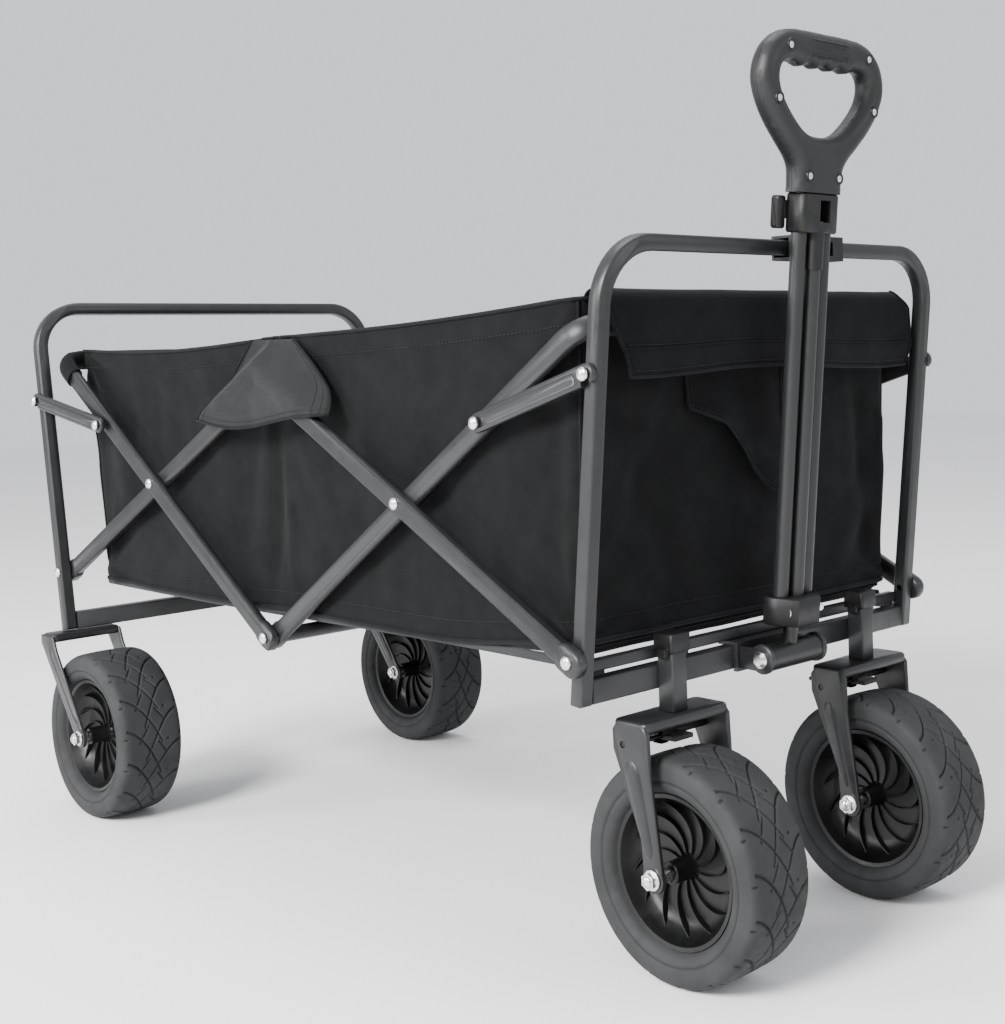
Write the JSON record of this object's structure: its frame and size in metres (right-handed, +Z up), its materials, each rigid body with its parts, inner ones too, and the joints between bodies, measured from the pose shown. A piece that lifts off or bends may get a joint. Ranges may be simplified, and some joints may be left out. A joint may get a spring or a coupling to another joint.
{
  "type": "folding wagon with pull handle",
  "caption": "Folding cloth wagon with a scissor steel frame, wide wheels, swivelling front forks and a telescoping pull handle with a closed grip.",
  "frame": {"origin": "centre of the footprint on the floor", "axes": "X across the wagon, +X its left side; the pull-handle end faces -Y; +Z up"},
  "size_m": [0.5856, 1.124, 0.8332],
  "materials": {
    "frame_paint": "satin",
    "black_plastic": "fine texture",
    "tyre": "matte",
    "rim": "satin",
    "zinc": "bright zinc",
    "cloth": "oxford weave"
  },
  "bodies": {
    "frame": {"front_hoop": "frame_paint", "front_lower_rail": "frame_paint", "front_floor_rail": "frame_paint", "caster_post_right": "frame_paint", "caster_post_left": "frame_paint", "caster_cap_right": "black_plastic", "caster_cap_left": "black_plastic", "handle_bracket": "frame_paint", "handle_pivot_bolt": "zinc", "handle_clip": "black_plastic", "bag": "cloth", "floor_mat": "cloth", "side_flap_right": "cloth", "side_flap_left": "cloth", "front_band": "cloth"},
    "front_bars": {"front_bar_right": "frame_paint", "front_bar_left": "frame_paint"},
    "front_bow": {"front_bow": "frame_paint", "centre_cross_tube": "frame_paint"},
    "rear_bow": {"rear_bow": "frame_paint"},
    "rear_bars": {"rear_bar_right": "frame_paint", "rear_bar_left": "frame_paint"},
    "rear_frame": {"rear_hoop": "frame_paint", "rear_lower_rail": "frame_paint", "rear_fork_right": "frame_paint", "rear_fork_left": "frame_paint", "rear_right_axle": "zinc", "rear_left_axle": "zinc"},
    "handle": {"handle_foot": "frame_paint", "handle_block": "black_plastic", "handle_tube_right": "frame_paint", "handle_tube_left": "frame_paint", "handle_tube_middle": "frame_paint", "handle_collar": "black_plastic"},
    "grip": {"inner_rod_right": "zinc", "inner_rod_left": "zinc", "grip_front_shell": "black_plastic", "grip_rear_shell": "black_plastic"},
    "release_button": {"release_button": "black_plastic"},
    "front_stay_right": {"front_stay_right": "frame_paint"},
    "rear_stay_right": {"rear_stay_right": "frame_paint"},
    "caster_right": {"front_fork_right": "frame_paint", "front_right_axle": "zinc"},
    "front_wheel_right": {"front_right_tyre": "tyre", "front_right_rim": "rim"},
    "rear_wheel_right": {"rear_right_tyre": "tyre", "rear_right_rim": "rim"},
    "brake_right": {"brake_pedal_right": "black_plastic"},
    "front_stay_left": {"front_stay_left": "frame_paint"},
    "rear_stay_left": {"rear_stay_left": "frame_paint"},
    "caster_left": {"front_fork_left": "frame_paint", "front_left_axle": "zinc"},
    "front_wheel_left": {"front_left_tyre": "tyre", "front_left_rim": "rim"},
    "rear_wheel_left": {"rear_left_tyre": "tyre", "rear_left_rim": "rim"},
    "brake_left": {"brake_pedal_left": "black_plastic"}
  },
  "joints": [
    {"name": "fold", "type": "hinge", "parent": "frame", "child": "front_bars", "pos_m": [0, -0.4274, 0.2915], "axis": [1, 0, 0], "range_deg": [0, 46], "deforming": ["bag", "floor_mat", "side_flap_right", "side_flap_left", "front_band"]},
    {"name": "front_bow_turn", "type": "hinge", "parent": "front_bars", "child": "front_bow", "pos_m": [0, -0.19465, 0.41325], "axis": [1, 0, 0], "range_deg": [-90, 0]},
    {"name": "rear_bow_turn", "type": "hinge", "parent": "front_bow", "child": "rear_bow", "pos_m": [0, 0.03809, 0.26], "axis": [1, 0, 0], "range_deg": [0, 85]},
    {"name": "rear_bars_turn", "type": "hinge", "parent": "rear_bow", "child": "rear_bars", "pos_m": [0, 0.27084, 0.41325], "axis": [1, 0, 0], "range_deg": [-90, 0]},
    {"name": "rear_frame_turn", "type": "hinge", "parent": "rear_bars", "child": "rear_frame", "pos_m": [0, 0.50358, 0.2915], "axis": [1, 0, 0], "range_deg": [0, 48]},
    {"name": "handle_tilt", "type": "hinge", "parent": "frame", "child": "handle", "pos_m": [0, -0.46019, 0.263], "axis": [1, 0, 0], "range_deg": [0, 95]},
    {"name": "handle_extend", "type": "slide", "parent": "handle", "child": "grip", "axis": [0, -0.0958, 0.9954], "range_m": [0, 0.3]},
    {"name": "release_button_press", "type": "slide", "parent": "handle", "child": "release_button", "axis": [1, 0, 0], "range_m": [0, 0.004], "stiffness_N_per_m": 400},
    {"name": "front_stay_right_turn", "type": "hinge", "parent": "front_bow", "child": "front_stay_right", "pos_m": [-0.25, -0.31228, 0.4907], "axis": [-1, 0, 0], "range_deg": [0, 18]},
    {"name": "rear_stay_right_turn", "type": "hinge", "parent": "rear_bow", "child": "rear_stay_right", "pos_m": [-0.264, 0.37217, 0.47997], "axis": [1, 0, 0], "range_deg": [0, 25]},
    {"name": "caster_swivel_right", "type": "hinge", "parent": "frame", "child": "caster_right", "pos_m": [-0.141, -0.44049, 0.232], "axis": [0, 0, 1], "continuous": true},
    {"name": "front_wheel_right_spin", "type": "hinge", "parent": "caster_right", "child": "front_wheel_right", "pos_m": [-0.141, -0.46219, 0.1], "axis": [1, 0, 0], "continuous": true},
    {"name": "rear_wheel_right_spin", "type": "hinge", "parent": "rear_frame", "child": "rear_wheel_right", "pos_m": [-0.2375, 0.41181, 0.1], "axis": [1, 0, 0], "continuous": true},
    {"name": "brake_right_press", "type": "hinge", "parent": "caster_right", "child": "brake_right", "pos_m": [-0.141, -0.43049, 0.211], "axis": [-1, 0, 0], "range_deg": [0, 6]},
    {"name": "front_stay_left_turn", "type": "hinge", "parent": "front_bow", "child": "front_stay_left", "pos_m": [0.25, -0.31228, 0.4907], "axis": [-1, 0, 0], "range_deg": [0, 18]},
    {"name": "rear_stay_left_turn", "type": "hinge", "parent": "rear_bow", "child": "rear_stay_left", "pos_m": [0.264, 0.37217, 0.47997], "axis": [1, 0, 0], "range_deg": [0, 25]},
    {"name": "caster_swivel_left", "type": "hinge", "parent": "frame", "child": "caster_left", "pos_m": [0.141, -0.44049, 0.232], "axis": [0, 0, 1], "continuous": true},
    {"name": "front_wheel_left_spin", "type": "hinge", "parent": "caster_left", "child": "front_wheel_left", "pos_m": [0.141, -0.46219, 0.1], "axis": [1, 0, 0], "continuous": true},
    {"name": "rear_wheel_left_spin", "type": "hinge", "parent": "rear_frame", "child": "rear_wheel_left", "pos_m": [0.2375, 0.41181, 0.1], "axis": [1, 0, 0], "continuous": true},
    {"name": "brake_left_press", "type": "hinge", "parent": "caster_left", "child": "brake_left", "pos_m": [0.141, -0.43049, 0.211], "axis": [-1, 0, 0], "range_deg": [0, 6]}
  ],
  "couplings": [
    {"joint": "front_bow_turn", "follows": "fold", "ratio": -1.887},
    {"joint": "rear_bow_turn", "follows": "fold", "ratio": 1.774},
    {"joint": "rear_bars_turn", "follows": "fold", "ratio": -1.887},
    {"joint": "rear_frame_turn", "follows": "fold", "ratio": 1},
    {"joint": "front_stay_right_turn", "follows": "fold", "ratio": 0.36},
    {"joint": "rear_stay_right_turn", "follows": "fold", "ratio": 0.5},
    {"joint": "front_stay_left_turn", "follows": "fold", "ratio": 0.36},
    {"joint": "rear_stay_left_turn", "follows": "fold", "ratio": 0.5}
  ]
}
